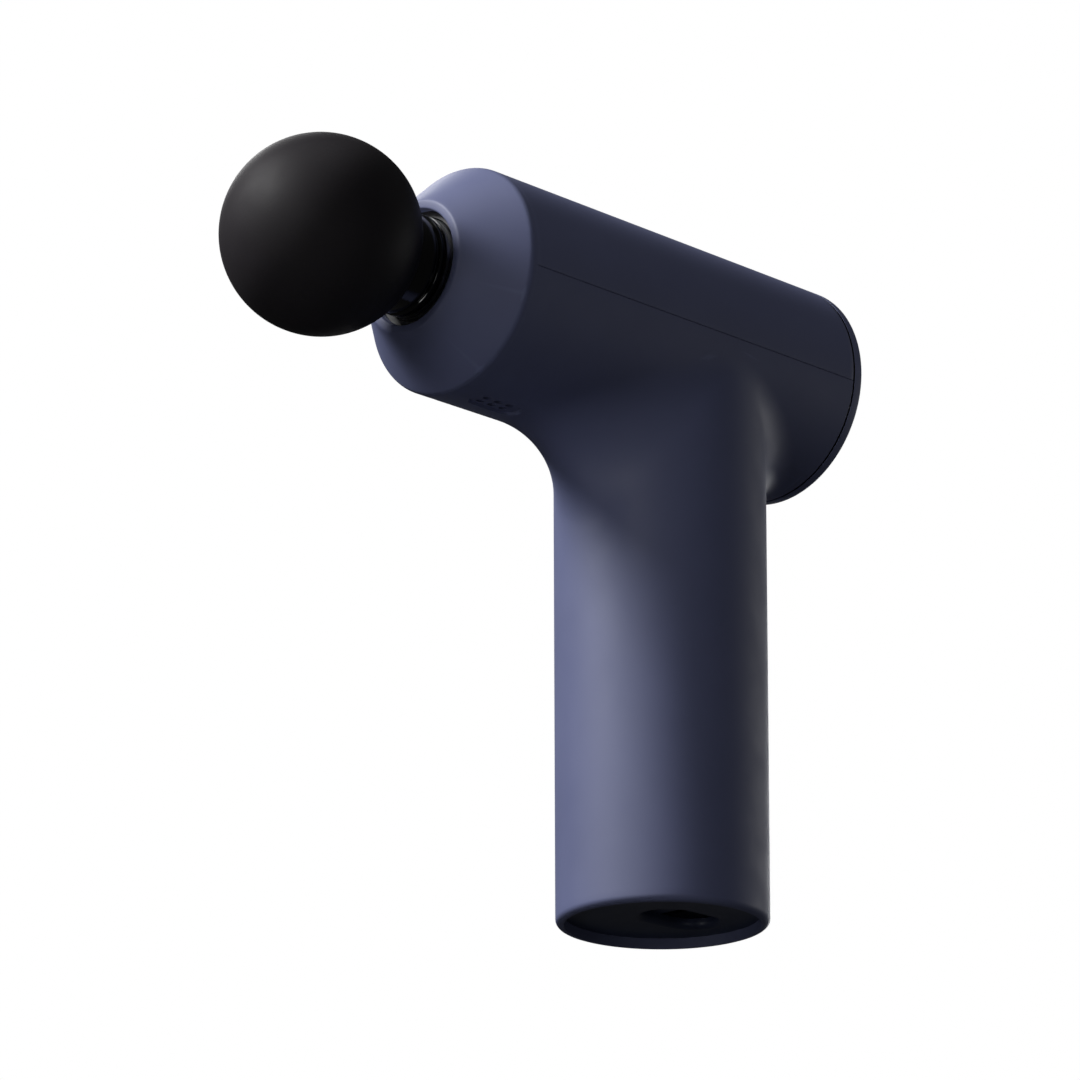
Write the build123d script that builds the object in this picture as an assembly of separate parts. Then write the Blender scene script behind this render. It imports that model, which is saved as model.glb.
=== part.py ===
from build123d import *
import os
from math import cos, radians, sin, sqrt

# A small pistol-shaped massage gun. The barrel lies along X with its working end towards -X, and the
# handle stands on its round base on the plane z = 0. Every length is in millimetres.

# driving dimensions of the outside
AXIS_Z = 119.2          # height of the barrel's axis above the base
BARREL_R = 23.0
NOSE_X = -68.5          # front lip of the nose cone
NOSE_R = 13.43          # outer radius of that lip
NOSE_OPENING_R = 11.64
NOSE_EDGE_ROUND = 0.5
CONE_EDGE_X = -57.9     # where the cone meets the barrel
CONE_JOINT_X = -56.5    # back of the nose cone's outer skin
SHELL_END_X = 33.65     # back of the barrel shells
CAP_FRONT_X = 34.15     # front of the rear cap, past a shadow gap
CAP_REAR_X = 36.3
CAP_EDGE_ROUND = 0.4
SEAM_Z = AXIS_Z - 2.9   # parting plane between the lower shell and the top cover
SEAM_GAP = 0.15
HANDLE_BASE_R = 21.0
HANDLE_TOP_R = 21.56    # at the barrel's axis
FRONT_BLEND_R = 19.0    # handle to barrel, in front
REAR_BLEND_R = 10.0     # handle to barrel, behind
BALL_X = -91.8
BALL_R = 19.46

# walls and bores of the housing
BARREL_BORE_R = 21.0
HANDLE_BORE_R = 19.2
RIM_BORE_R = 19.3
CAP_RECESS = 2.1        # base plate above the handle's rim
CAP_PLATE = 2.0
POCKET_X = 4.8          # centre of the charging pocket
POCKET_LONG = 16.8
POCKET_WIDE = 10.0
POCKET_DEPTH = 3.8
POCKET_ROUND = 1.0
SOCKET_LONG = 9.3       # opening for the charging socket in the pocket's floor
SOCKET_WIDE = 3.6
VENT_X = -46.0
VENT_LONG = 12.5
VENT_WIDE = 5.0
VENT_DEPTH = 0.6
BOSS_RADIUS = 18.7      # end-plate screws, from the barrel's axis
BOSS_R = 2.6
END_PLATE_X = 25.5
END_PLATE_T = 2.0
BUTTON_R = 6.3
BUTTON_HOLE_R = 6.6
BUTTON_FACE_X = CAP_REAR_X - 0.1
BUTTON_BOARD_X = END_PLATE_X + END_PLATE_T + 1.0
LIGHT_YS = (-4, 0, 4)
LIGHT_Z = AXIS_Z + 11.0

# drive train
STROKE = 7.0
CRANK_R = STROKE / 2
ROD_LENGTH = 30.0
WRIST_X = CRANK_R - ROD_LENGTH
PLUNGER_R = 10.2
BUSH_BORE_R = 10.25
BUSH_R = 13.0
SLEEVE_R = 16.0
PLUNGER_REAR_X = -21.5
SOCKET_R = 7.0
SOCKET_DEPTH = 18.0
SHANK_R = 6.9
SHANK_LENGTH = 16.4
COLLAR_R = 10.24
COLLAR_X = -68.9
CUP_R = 10.1            # stem inside the mouth of the foam
ORING_GROOVES = [COLLAR_X + 4.5, COLLAR_X + 12.0]
ORING_SECTION_R = 0.8
ORING_R = 6.97          # outside, a light drag fit in the socket
PIN_R = 2.0
PIVOT_BORE_R = 2.03     # running fit on every 4 mm pin and shaft
PLATE_Z = 105.5         # underside of the motor plate
PLATE_T = 2.5
CRANK_TOP_Z = 115.5

# motor
ROTOR_R = 16.0
ROTOR_LOW_Z = 86.5
ROTOR_TOP_Z = 103.0
STATOR_R = 13.8
STACK_LOW_Z = 90.5      # laminations
STACK_TOP_Z = 101.5
MAGNET_LOW_Z = 90.0
TOOTH_COUNT = 9
MAGNET_COUNT = 14
TUBE_LOW_Z = 89.5       # foot of the bearing tube
BEARING_R = 3.5
MOTOR_SCREWS = [(9 * cos(radians(a)), 9 * sin(radians(a))) for a in (90, 210, 330)]

# battery and boards
CELL_R = 9.2
CELL_LENGTH = 65.2
CELL_X = 9.3
CELL_LOW_Z = 18.0
CELL_TOP_Z = CELL_LOW_Z + CELL_LENGTH
CHARGE_BOARD_Z = 12.8
MAIN_BOARD_Z = 131.0
BOARD_T = 1.2

# fasteners
SCREW_R = 0.95
PILOT_R = 1.0
FRAME_SCREW_R = 1.1
FRAME_POSTS = [(-30.0, -10.8), (-30.0, 10.8), (21.5, -7.0), (21.5, 7.0)]
BOARD_POSTS = [(-31.0, -11.0), (-31.0, 11.0), (12.0, -11.0), (12.0, 11.0)]
HEAD_R = 1.8            # pan heads of the small screws
HEAD_T = 1.3
DRIVE_R = 0.7           # hexagon recess, taken as round
DRIVE_DEPTH = 0.6
CHARGE_SCREWS = [(14.5 * cos(radians(a)), 14.5 * sin(radians(a))) for a in (90, 210, 330)]

# blocks that cut the shells, and the skirt of the top cover inside the seam
WIDE = 40.0
HIGH = 160.0
SKIRT_X = (-52.0, 24.0)

LOW = (Align.CENTER, Align.CENTER, Align.MIN)


def spin_x(*points):
    """Solid of revolution about the barrel's axis, from (x, radius) points."""
    profile = Plane.XZ * make_face(Polyline(*points, close=True))
    return Pos(0, 0, AXIS_Z) * revolve(profile, Axis.X)


def spin_z(*points):
    """Solid of revolution about the handle's axis, from (radius, z) points."""
    return revolve(Plane.XZ * make_face(Polyline(*points, close=True)), Axis.Z)


def bar_x(x0, x1, r, y=0.0, z=AXIS_Z):
    return Pos(x0, y, z) * Rot(0, 90, 0) * Cylinder(r, x1 - x0, align=LOW)


def bar_z(z0, z1, r, x=0.0, y=0.0):
    return Pos(x, y, z0) * Cylinder(r, z1 - z0, align=LOW)


def tube_x(x0, x1, r_out, r_in):
    return bar_x(x0, x1, r_out) - bar_x(x0, x1, r_in)


def tube_z(z0, z1, r_out, r_in, x=0.0, y=0.0):
    return bar_z(z0, z1, r_out, x, y) - bar_z(z0, z1, r_in, x, y)


def block(x0, x1, y0, y1, z0, z1):
    return Pos(x0, y0, z0) * Box(x1 - x0, y1 - y0, z1 - z0, align=(Align.MIN,) * 3)


def slot_z(z0, z1, length, width, x=0.0, y=0.0):
    """Obround bar along Z with its long way on X."""
    return Pos(x, y, z0) * extrude(SlotOverall(length, width), z1 - z0)


def slot_x(x0, x1, length, width, y, z):
    """Obround bar along X with its long way on Y."""
    face = Plane(origin=(x0, y, z), x_dir=(0, 1, 0), z_dir=(1, 0, 0)) * SlotOverall(length, width)
    return extrude(face, x1 - x0)


def group(solids):
    return Compound([s for shape in solids for s in shape.solids()])


def edges_at_x(solid, x, r):
    """Circular edges of radius r about the barrel's axis at the given x."""
    return [
        e for e in solid.edges()
        if abs(e.center(CenterOf.BOUNDING_BOX).X - x) < 0.01
        and e.geom_type == GeomType.CIRCLE
        and abs(e.radius - r) < 0.01
    ]


def wire_solid(points, radii, r):
    """Round wire along straight runs joined by tangent arcs."""
    path = FilletPolyline(*points, radius=radii)
    return sweep(Plane(origin=path @ 0, z_dir=path % 0) * Circle(r), path=path)


# ---------------------------------------------------------------- housing shells

def blended_body(radius):
    """Solid barrel and handle, joined all round by a fillet of one radius."""
    handle = spin_z((0, 0), (HANDLE_BASE_R, 0), (HANDLE_TOP_R, AXIS_Z), (0, AXIS_Z))
    handle = handle.fillet(1.3, [handle.edges().sort_by(Axis.Z)[0]])
    body = bar_x(-80, 80, BARREL_R) + handle
    corner = [
        e for e in body.edges()
        if 90 < e.center().Z < AXIS_Z - 1 and e.bounding_box().size.X < 50
    ]
    return body.fillet(radius, corner)


def shell_outside():
    """Barrel and handle whose joining fillet is large in front and small behind."""
    front = blended_body(FRONT_BLEND_R) & block(CONE_JOINT_X, 0, -WIDE, WIDE, -1, HIGH)
    rear = blended_body(REAR_BLEND_R) & block(0, SHELL_END_X, -WIDE, WIDE, -1, HIGH)
    return front + rear


def end_boss(side_y, side_z):
    """Screw boss for the end plate, standing on the barrel's inner wall."""
    offset = BOSS_RADIUS / sqrt(2)
    y = side_y * offset
    z = AXIS_Z + side_z * offset
    boss = bar_x(END_PLATE_X - 6, END_PLATE_X, BOSS_R, y, z) & bar_x(0, 40, BARREL_BORE_R + 1)
    return boss, bar_x(END_PLATE_X - 5.5, END_PLATE_X, PILOT_R, y, z)


def lower_shell():
    solid = shell_outside()
    solid -= block(-100, 60, -WIDE, WIDE, SEAM_Z, HIGH)
    solid -= bar_x(CONE_JOINT_X, SHELL_END_X, BARREL_BORE_R)
    ledge_z = CAP_RECESS + CAP_PLATE + 0.2
    solid -= bar_z(0, ledge_z, RIM_BORE_R)
    solid -= bar_z(ledge_z, ledge_z + 2, HANDLE_BORE_R - 0.8)
    solid -= bar_z(ledge_z + 2, AXIS_Z, HANDLE_BORE_R)
    for x, y in FRAME_POSTS:
        post = bar_z(AXIS_Z - 22, PLATE_Z - 1.6, 3.0, x, y)
        solid += post & bar_x(-60, 40, BARREL_BORE_R + 1)
        solid -= bar_z(PLATE_Z - 4.6, PLATE_Z, FRAME_SCREW_R + 0.05, x, y)
    for side in (-1, 1):
        boss, pilot = end_boss(side, -1)
        solid = solid + boss - pilot
    skin_z = AXIS_Z - BARREL_R
    solid -= slot_z(skin_z - 1, skin_z + VENT_DEPTH, VENT_LONG, VENT_WIDE, VENT_X)
    for dx in (-3, 0, 3):
        for dy in (-0.95, 0.95):
            solid -= slot_z(skin_z, skin_z + 4, 1.9, 1.2, VENT_X + dx, dy)
    return solid


def nose_cone():
    wall = 2.42
    slope = (BARREL_R - NOSE_R) / (CONE_EDGE_X - NOSE_X)
    step_x = -63.2
    bore_r = 19.5
    step_r = NOSE_R + slope * (step_x - NOSE_X) - wall
    bore_x = step_x + (bore_r - step_r) / slope
    solid = spin_x(
        (CONE_JOINT_X, BARREL_R), (CONE_EDGE_X, BARREL_R), (NOSE_X, NOSE_R),
        (NOSE_X, NOSE_OPENING_R), (-66.6, NOSE_OPENING_R), (-66.6, 13.5), (step_x, 13.5),
        (step_x, step_r), (bore_x, bore_r), (CONE_JOINT_X + 3, bore_r),
        (CONE_JOINT_X + 3, BARREL_BORE_R - 0.05), (CONE_JOINT_X, BARREL_BORE_R - 0.05),
    )
    solid = solid.fillet(1.35, edges_at_x(solid, CONE_EDGE_X, BARREL_R))
    solid = solid.fillet(NOSE_EDGE_ROUND, edges_at_x(solid, NOSE_X, NOSE_R))
    return solid.fillet(0.4, edges_at_x(solid, NOSE_X, NOSE_OPENING_R))


def top_cover():
    upper = block(-100, 60, -WIDE, WIDE, SEAM_Z + SEAM_GAP, HIGH)
    skirt = block(*SKIRT_X, -WIDE, WIDE, SEAM_Z - 3, SEAM_Z + 3)
    solid = tube_x(CONE_JOINT_X, SHELL_END_X, BARREL_R, BARREL_BORE_R) & upper
    tongue = tube_x(*SKIRT_X, BARREL_BORE_R - 0.1, BARREL_BORE_R - 1.1) & skirt
    root = tube_x(*SKIRT_X, BARREL_BORE_R + 0.5, BARREL_BORE_R - 1.1) & skirt & upper
    solid = solid + tongue + root
    for x, y in BOARD_POSTS:
        post = bar_z(MAIN_BOARD_Z + BOARD_T, AXIS_Z + 21, 2.3, x, y)
        solid += post & bar_x(-60, 40, BARREL_BORE_R + 1)
        solid -= bar_z(MAIN_BOARD_Z, MAIN_BOARD_Z + 5.2, PILOT_R, x, y)
    for side in (-1, 1):
        boss, pilot = end_boss(side, 1)
        solid = solid + boss - pilot
    return solid


def rear_cap():
    solid = spin_x(
        (CAP_FRONT_X, BUTTON_HOLE_R), (CAP_REAR_X, BUTTON_HOLE_R),
        (CAP_REAR_X, BARREL_R), (CAP_FRONT_X, BARREL_R),
        (CAP_FRONT_X, 20.9), (31.4, 20.9), (31.4, 19.4), (CAP_FRONT_X, 19.4),
    )
    solid = solid.fillet(CAP_EDGE_ROUND, edges_at_x(solid, CAP_REAR_X, BARREL_R))
    for y in LIGHT_YS:
        solid -= slot_x(CAP_FRONT_X - 1, CAP_REAR_X + 1, 2.8, 1.3, y, LIGHT_Z)
    return solid


def base_cap():
    plate_top = CAP_RECESS + CAP_PLATE
    floor_z = CAP_RECESS + POCKET_DEPTH
    solid = bar_z(CAP_RECESS, plate_top, RIM_BORE_R - 0.05)
    solid += slot_z(plate_top, floor_z + 1.5, POCKET_LONG + 3, POCKET_WIDE + 3, POCKET_X)
    solid -= slot_z(0, floor_z, POCKET_LONG, POCKET_WIDE, POCKET_X)
    mouth = [
        e for e in solid.edges()
        if abs(e.center().Z - CAP_RECESS) < 0.01 and e.bounding_box().size.Y < 2 * POCKET_WIDE
    ]
    solid = solid.fillet(POCKET_ROUND, mouth)
    return solid - slot_z(floor_z, floor_z + 2, SOCKET_LONG, SOCKET_WIDE, POCKET_X)


def nose_seal():
    return tube_x(-66.5, -63.3, 13.45, PLUNGER_R + 0.3)


def vent_mesh():
    sheet = tube_x(VENT_X - 7, VENT_X + 7, BARREL_BORE_R - 0.1, BARREL_BORE_R - 0.5)
    sheet = sheet & block(-60, 0, -4, 4, 90, AXIS_Z)
    for dx in range(-5, 6, 2):
        for dy in (-2, 0, 2):
            sheet -= slot_z(90, AXIS_Z, 1.4, 0.9, VENT_X + dx, dy)
    return sheet


# ---------------------------------------------------------------- rear plate and button

def end_plate():
    solid = tube_x(END_PLATE_X, END_PLATE_X + END_PLATE_T, BARREL_BORE_R - 0.3, 4.0)
    offset = BOSS_RADIUS / sqrt(2)
    for sy in (-1, 1):
        for sz in (-1, 1):
            y, z = sy * offset, AXIS_Z + sz * offset
            solid -= bar_x(END_PLATE_X, END_PLATE_X + END_PLATE_T, 1.1, y, z)
            y, z = sy * 7.5, AXIS_Z + sz * 7.5
            solid += bar_x(END_PLATE_X + END_PLATE_T, END_PLATE_X + END_PLATE_T + 1, 1.6, y, z)
    return solid


def end_plate_screws():
    offset = BOSS_RADIUS / sqrt(2)
    face_x = END_PLATE_X + END_PLATE_T
    screws = []
    for sy in (-1, 1):
        for sz in (-1, 1):
            y, z = sy * offset, AXIS_Z + sz * offset
            screw = bar_x(face_x - 7, face_x, SCREW_R, y, z)
            screw += bar_x(face_x, face_x + HEAD_T, HEAD_R, y, z)
            screws.append(screw - bar_x(face_x + HEAD_T - DRIVE_DEPTH, face_x + HEAD_T, DRIVE_R, y, z))
    return group(screws)


def button_board():
    x = BUTTON_BOARD_X
    return bar_x(x, x + BOARD_T, 13.0) - bar_x(x, x + BOARD_T, 1.0, 9.5, AXIS_Z - 5)


def button_switch():
    x = BUTTON_BOARD_X + BOARD_T
    body = block(x, x + 1.6, -3, 3, AXIS_Z - 3, AXIS_Z + 3)
    return body + bar_x(x, x + 2.2, 1.2)


def indicator_leds():
    x = BUTTON_BOARD_X + BOARD_T
    return group(block(x, x + 0.5, y - 0.8, y + 0.8, LIGHT_Z - 0.4, LIGHT_Z + 0.4) for y in LIGHT_YS)


def light_pipes():
    return group(slot_x(30.4, CAP_REAR_X, 2.7, 1.2, y, LIGHT_Z) for y in LIGHT_YS)


def power_button():
    solid = spin_x(
        (32.35, 0), (32.35, 1.5), (32.95, 1.5), (32.95, 7.6), (33.8, 7.6),
        (33.8, BUTTON_R), (BUTTON_FACE_X, BUTTON_R), (BUTTON_FACE_X, 0),
    )
    return solid.fillet(0.4, edges_at_x(solid, BUTTON_FACE_X, BUTTON_R))


# ---------------------------------------------------------------- battery and charging

def battery_cells():
    can = [bar_z(CELL_LOW_Z, CELL_TOP_Z, CELL_R, x) for x in (-CELL_X, CELL_X)]
    return group(c.fillet(0.6, c.edges().filter_by(GeomType.CIRCLE)) for c in can)


def cell_holder(z0, z1, pocket_z0, pocket_z1):
    solid = bar_z(z0, z1, HANDLE_BORE_R - 0.2)
    for x in (-CELL_X, CELL_X):
        solid -= bar_z(pocket_z0, pocket_z1, CELL_R + 0.05, x)
    return solid


def battery_holder_bottom():
    solid = cell_holder(15.6, 21.0, 17.7, 21.0)
    for x, y in CHARGE_SCREWS:
        solid += bar_z(CHARGE_BOARD_Z + BOARD_T, 15.6, 2.2, x, y)
        solid -= bar_z(CHARGE_BOARD_Z, 17.4, PILOT_R, x, y)
    return solid


def battery_holder_top():
    solid = cell_holder(80.2, 84.6, 80.2, CELL_TOP_Z + 0.3)
    return solid - block(-3, 3, -2.5, 2.5, 80.2, 84.6)


def battery_tabs():
    low = slot_z(CELL_LOW_Z - 0.25, CELL_LOW_Z, 25.0, 6.0)
    high = [slot_z(CELL_TOP_Z, CELL_TOP_Z + 0.25, 9.0, 6.0, x) for x in (-CELL_X, CELL_X)]
    return group([low & (bar_z(0, 99, CELL_R, -CELL_X) + bar_z(0, 99, CELL_R, CELL_X))] + high)


def charge_board():
    solid = bar_z(CHARGE_BOARD_Z, CHARGE_BOARD_Z + BOARD_T, 17.5)
    for x, y in CHARGE_SCREWS:
        solid -= bar_z(CHARGE_BOARD_Z, CHARGE_BOARD_Z + BOARD_T, 1.1, x, y)
    return solid


def charge_board_parts():
    z = CHARGE_BOARD_Z
    coil = block(-13, -8, -2.5, 2.5, z - 3, z)
    chip = block(-3, 2, -10, -6, z - 1.1, z)
    diode = block(-2, 3, 7, 10, z - 1.4, z)
    return group([coil, chip, diode])


def charge_board_screws():
    screws = []
    for x, y in CHARGE_SCREWS:
        low_z = CHARGE_BOARD_Z - HEAD_T
        head = bar_z(low_z, CHARGE_BOARD_Z, HEAD_R, x, y) - bar_z(low_z, low_z + DRIVE_DEPTH, DRIVE_R, x, y)
        screws.append(head + bar_z(CHARGE_BOARD_Z, 17.2, SCREW_R, x, y))
    return group(screws)


def usb_c_port():
    mouth_z = CAP_RECESS + POCKET_DEPTH + 0.2
    shell = slot_z(mouth_z, CHARGE_BOARD_Z, 8.94, 3.26, POCKET_X)
    shell -= slot_z(mouth_z, CHARGE_BOARD_Z - 1.2, 8.34, 2.66, POCKET_X)
    tongue = block(POCKET_X - 3.3, POCKET_X + 3.3, -0.35, 0.35, mouth_z + 0.6, CHARGE_BOARD_Z - 1)
    return shell + tongue


def battery_leads():
    wires = []
    for side in (-1, 1):
        route = [(9, side * 15.6, 84.6), (9, side * 15.6, 122), (9, side * 12.5, MAIN_BOARD_Z - 0.4)]
        wires.append(wire_solid(route, 12.0, 0.8))
    return group(wires)


# ---------------------------------------------------------------- drive frame and motor

def drive_frame():
    top = PLATE_Z + PLATE_T
    solid = bar_z(PLATE_Z, top, 17.0)
    solid += block(-44, 0, -14.5, 14.5, PLATE_Z, top)
    solid += block(0, 24.8, -10.2, 10.2, PLATE_Z, top)
    for side in (-1, 1):
        solid += block(-42, -14, min(side * 13.3, side * 14.5), max(side * 13.3, side * 14.5), top, top + 5)
    solid += bar_x(-58, -38, SLEEVE_R)
    solid -= bar_x(-58, -38, BUSH_R)
    solid -= bar_z(PLATE_Z, top, 5.0)
    for x, y in FRAME_POSTS:
        solid -= bar_z(PLATE_Z, top, FRAME_SCREW_R + 0.15, x, y)
    for x, y in MOTOR_SCREWS:
        solid -= bar_z(PLATE_Z, top, 1.3, x, y)
    return solid


def frame_screws():
    top = PLATE_Z + PLATE_T
    screws = []
    for x, y in FRAME_POSTS:
        head = bar_z(top, top + 1.6, 2.2, x, y) - bar_z(top + 0.8, top + 1.6, 0.9, x, y)
        screws.append(head + bar_z(PLATE_Z - 4.4, top, FRAME_SCREW_R, x, y))
    return group(screws)


def frame_dampers():
    return group(tube_z(PLATE_Z - 1.6, PLATE_Z, 2.9, FRAME_SCREW_R + 0.1, x, y) for x, y in FRAME_POSTS)


def linear_bush():
    return tube_x(-60, -39, BUSH_R, BUSH_BORE_R)


def stator_base():
    solid = bar_z(PLATE_Z - 2, PLATE_Z, 14.0) + bar_z(TUBE_LOW_Z, PLATE_Z - 2, 4.5)
    for x, y in MOTOR_SCREWS:
        solid -= bar_z(PLATE_Z - 2, PLATE_Z, 1.05, x, y)
    return solid - bar_z(TUBE_LOW_Z, PLATE_Z, BEARING_R)


def stator_core():
    z0, z1 = STACK_LOW_Z, STACK_TOP_Z
    solid = tube_z(z0, z1, 7.0, 4.5)
    shoes = tube_z(z0, z1, STATOR_R, 12.4)
    for k in range(TOOTH_COUNT):
        turn = Rot(0, 0, k * 360 / TOOTH_COUNT)
        solid += turn * block(6.5, 12.8, -1.3, 1.3, z0, z1)
        solid += shoes & (turn * block(11, 15, -3.6, 3.6, z0, z1))
    return solid


def stator_coils():
    coils = []
    for k in range(TOOTH_COUNT):
        coil = block(8.0, 11.8, -2.6, 2.6, STACK_LOW_Z - 1.3, STACK_TOP_Z + 1.3)
        coil -= block(8.0, 11.8, -1.3, 1.3, STACK_LOW_Z, STACK_TOP_Z)
        coils.append(Rot(0, 0, k * 360 / TOOTH_COUNT) * coil)
    return group(coils)


def motor_screws():
    screws = []
    top = PLATE_Z + PLATE_T
    for x, y in MOTOR_SCREWS:
        head = bar_z(top, top + 1.4, 1.9, x, y) - bar_z(top + 0.7, top + 1.4, 0.8, x, y)
        screws.append(head + bar_z(PLATE_Z - 2, top, 1.0, x, y))
    return group(screws)


def motor_bearings():
    return group(tube_z(z, z + 2.5, BEARING_R, PIVOT_BORE_R) for z in (90.0, 102.5))


def motor_leads():
    wires = []
    for a in (-97, -103, -109):
        c, s = cos(radians(a)), sin(radians(a))
        route = [(14.1 * c, 14.1 * s, 104.5), (18.1 * c, 18.1 * s, 104.5), (18.1 * c, 18.1 * s, 121)]
        route.append((18.1 * c, -12.5, MAIN_BOARD_Z - 0.4))
        wires.append(wire_solid(route, [1.8, 6.0], 0.6))
    return group(wires)


def rotor_can():
    solid = tube_z(ROTOR_LOW_Z, ROTOR_TOP_Z, ROTOR_R, ROTOR_R - 0.8)
    solid += tube_z(ROTOR_LOW_Z, ROTOR_LOW_Z + 1.5, ROTOR_R, PIN_R)
    for k in range(6):
        window = slot_z(ROTOR_LOW_Z, ROTOR_LOW_Z + 1.5, 6.5, 3.4, 9.0)
        solid -= Rot(0, 0, k * 60) * window
    return solid


def rotor_magnets():
    ring = tube_z(MAGNET_LOW_Z, STACK_TOP_Z, ROTOR_R - 0.8, STATOR_R + 0.4)
    half = radians(360 / MAGNET_COUNT) / 2 * 0.86
    width = 2 * (STATOR_R + 0.4) * sin(half)
    magnets = []
    for k in range(MAGNET_COUNT):
        bar = block(10, 20, -width / 2, width / 2, MAGNET_LOW_Z, STACK_TOP_Z)
        magnets.append(ring & (Rot(0, 0, k * 360 / MAGNET_COUNT) * bar))
    return group(magnets)


def motor_shaft():
    return bar_z(ROTOR_LOW_Z - 0.4, CRANK_TOP_Z, PIN_R)


def shaft_clip():
    return tube_z(106.0, 106.6, 3.4, PIN_R)


def crank_wheel():
    z0 = CRANK_TOP_Z - 4
    solid = bar_z(z0, CRANK_TOP_Z, 8.5) + bar_z(z0 - 2.7, z0, 5.0)
    solid += bar_z(z0, CRANK_TOP_Z, 13.0) & block(-20, -1.5, -20, 20, z0, CRANK_TOP_Z)
    solid -= bar_z(z0 - 3, CRANK_TOP_Z, PIN_R)
    solid -= bar_z(CRANK_TOP_Z - 2.5, CRANK_TOP_Z, PIN_R + 0.2, CRANK_R)
    return solid - Pos(-PIN_R, 0, z0 + 2) * Rot(0, -90, 0) * Cylinder(1.2, 12, align=LOW)


def crank_set_screw():
    z = CRANK_TOP_Z - 2
    screw = Pos(-PIN_R, 0, z) * Rot(0, -90, 0) * Cylinder(1.2, 5, align=LOW)
    return screw - Pos(-PIN_R - 3.8, 0, z) * Rot(0, -90, 0) * Cylinder(0.6, 1.2, align=LOW)


# ---------------------------------------------------------------- connecting rod and plunger

def connecting_rod():
    z0, z1 = AXIS_Z - 2.5, AXIS_Z + 2.5
    solid = bar_z(z0, z1, 7.0, CRANK_R) + bar_z(z0, z1, 4.5, WRIST_X)
    solid += block(WRIST_X, CRANK_R, -3.0, 3.0, z0, z1)
    for za, zb in ((z0, z0 + 1.2), (z1 - 1.2, z1)):
        solid -= slot_z(za, zb, 13.0, 3.0, (WRIST_X + CRANK_R) / 2 - 1)
    return solid - bar_z(z0, z1, 4.5, CRANK_R) - bar_z(z0, z1, 3.0, WRIST_X)


def big_end_bearing():
    return tube_z(AXIS_Z - 2.2, AXIS_Z + 2.2, 4.5, PIN_R, CRANK_R)


def crank_pin():
    pin = bar_z(CRANK_TOP_Z + 0.3, AXIS_Z + 3.2, PIN_R, CRANK_R)
    return pin + bar_z(AXIS_Z + 2.3, AXIS_Z + 3.2, 3.0, CRANK_R)


def small_end_bush():
    return tube_z(AXIS_Z - 2.5, AXIS_Z + 2.5, 3.0, PIVOT_BORE_R, WRIST_X)


def plunger():
    solid = bar_x(NOSE_X, PLUNGER_REAR_X, PLUNGER_R)
    solid -= bar_x(NOSE_X, NOSE_X + SOCKET_DEPTH, SOCKET_R + 1.2)
    solid -= bar_x(NOSE_X, -36, 6.0)
    solid -= block(WRIST_X - 5.1, PLUNGER_REAR_X, -12, 12, AXIS_Z - 3, AXIS_Z + 3)
    return solid - bar_z(AXIS_Z - 12, AXIS_Z + 12, PIN_R, WRIST_X)


def wrist_pin():
    return bar_z(AXIS_Z - 9, AXIS_Z + 9, PIN_R, WRIST_X)


def socket_liner():
    return tube_x(NOSE_X, NOSE_X + SOCKET_DEPTH, SOCKET_R + 1.2, SOCKET_R)


# ---------------------------------------------------------------- massage head

def stem_outline():
    """Stem of revolution: shank, glossy collar and the barbed core that holds the foam."""
    return spin_x(
        (COLLAR_X + SHANK_LENGTH, 0), (COLLAR_X + SHANK_LENGTH, SHANK_R - 0.8),
        (COLLAR_X + SHANK_LENGTH - 0.8, SHANK_R), (COLLAR_X, SHANK_R), (COLLAR_X, COLLAR_R),
        (COLLAR_X - 1.2, COLLAR_R), (COLLAR_X - 1.5, 9.75), (COLLAR_X - 1.8, 9.75),
        (COLLAR_X - 2.1, CUP_R), (COLLAR_X - 8.0, CUP_R), (COLLAR_X - 8.0, 6.0),
        (COLLAR_X - 17.0, 6.0), (COLLAR_X - 17.0, 9.0), (COLLAR_X - 20.0, 8.0), (COLLAR_X - 20.0, 0),
    )


def head_stem():
    solid = stem_outline()
    solid = solid.fillet(0.35, edges_at_x(solid, COLLAR_X, COLLAR_R))
    for x in ORING_GROOVES:
        solid -= tube_x(x - 1, x + 1, SHANK_R + 1, ORING_R - 2 * ORING_SECTION_R)
    return solid


def shank_orings():
    ring = Torus(ORING_R - ORING_SECTION_R, ORING_SECTION_R)
    return group(Pos(x, 0, AXIS_Z) * Rot(0, 90, 0) * ring for x in ORING_GROOVES)


def massage_ball():
    return Pos(BALL_X, 0, AXIS_Z) * Sphere(BALL_R) - stem_outline()


# ---------------------------------------------------------------- boards

def main_board():
    solid = block(-36, 17, -15.5, 15.5, MAIN_BOARD_Z, MAIN_BOARD_Z + BOARD_T)
    for x, y in BOARD_POSTS:
        solid -= bar_z(MAIN_BOARD_Z, MAIN_BOARD_Z + BOARD_T, 1.1, x, y)
    return solid


def main_board_parts():
    z = MAIN_BOARD_Z + BOARD_T
    parts = [block(-12, -5, -3.5, 3.5, z, z + 1.2)]
    parts += [block(x, x + 5, -8.5, -3.5, z, z + 1.5) for x in (-3, 3, 9)]
    parts += [block(x, x + 6, 4.5, 8.5, z, z + 2.5) for x in (-25, 2)]
    parts.append(bar_z(z, z + 5, 2.5, -20, -3))
    parts.append(block(-30, -26, -3, 3, z, z + 1.4))
    return group(parts)


def main_board_screws():
    screws = []
    for x, y in BOARD_POSTS:
        low_z = MAIN_BOARD_Z - HEAD_T
        head = bar_z(low_z, MAIN_BOARD_Z, HEAD_R, x, y) - bar_z(low_z, low_z + DRIVE_DEPTH, DRIVE_R, x, y)
        screws.append(head + bar_z(MAIN_BOARD_Z, MAIN_BOARD_Z + 5, SCREW_R, x, y))
    return group(screws)


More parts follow.
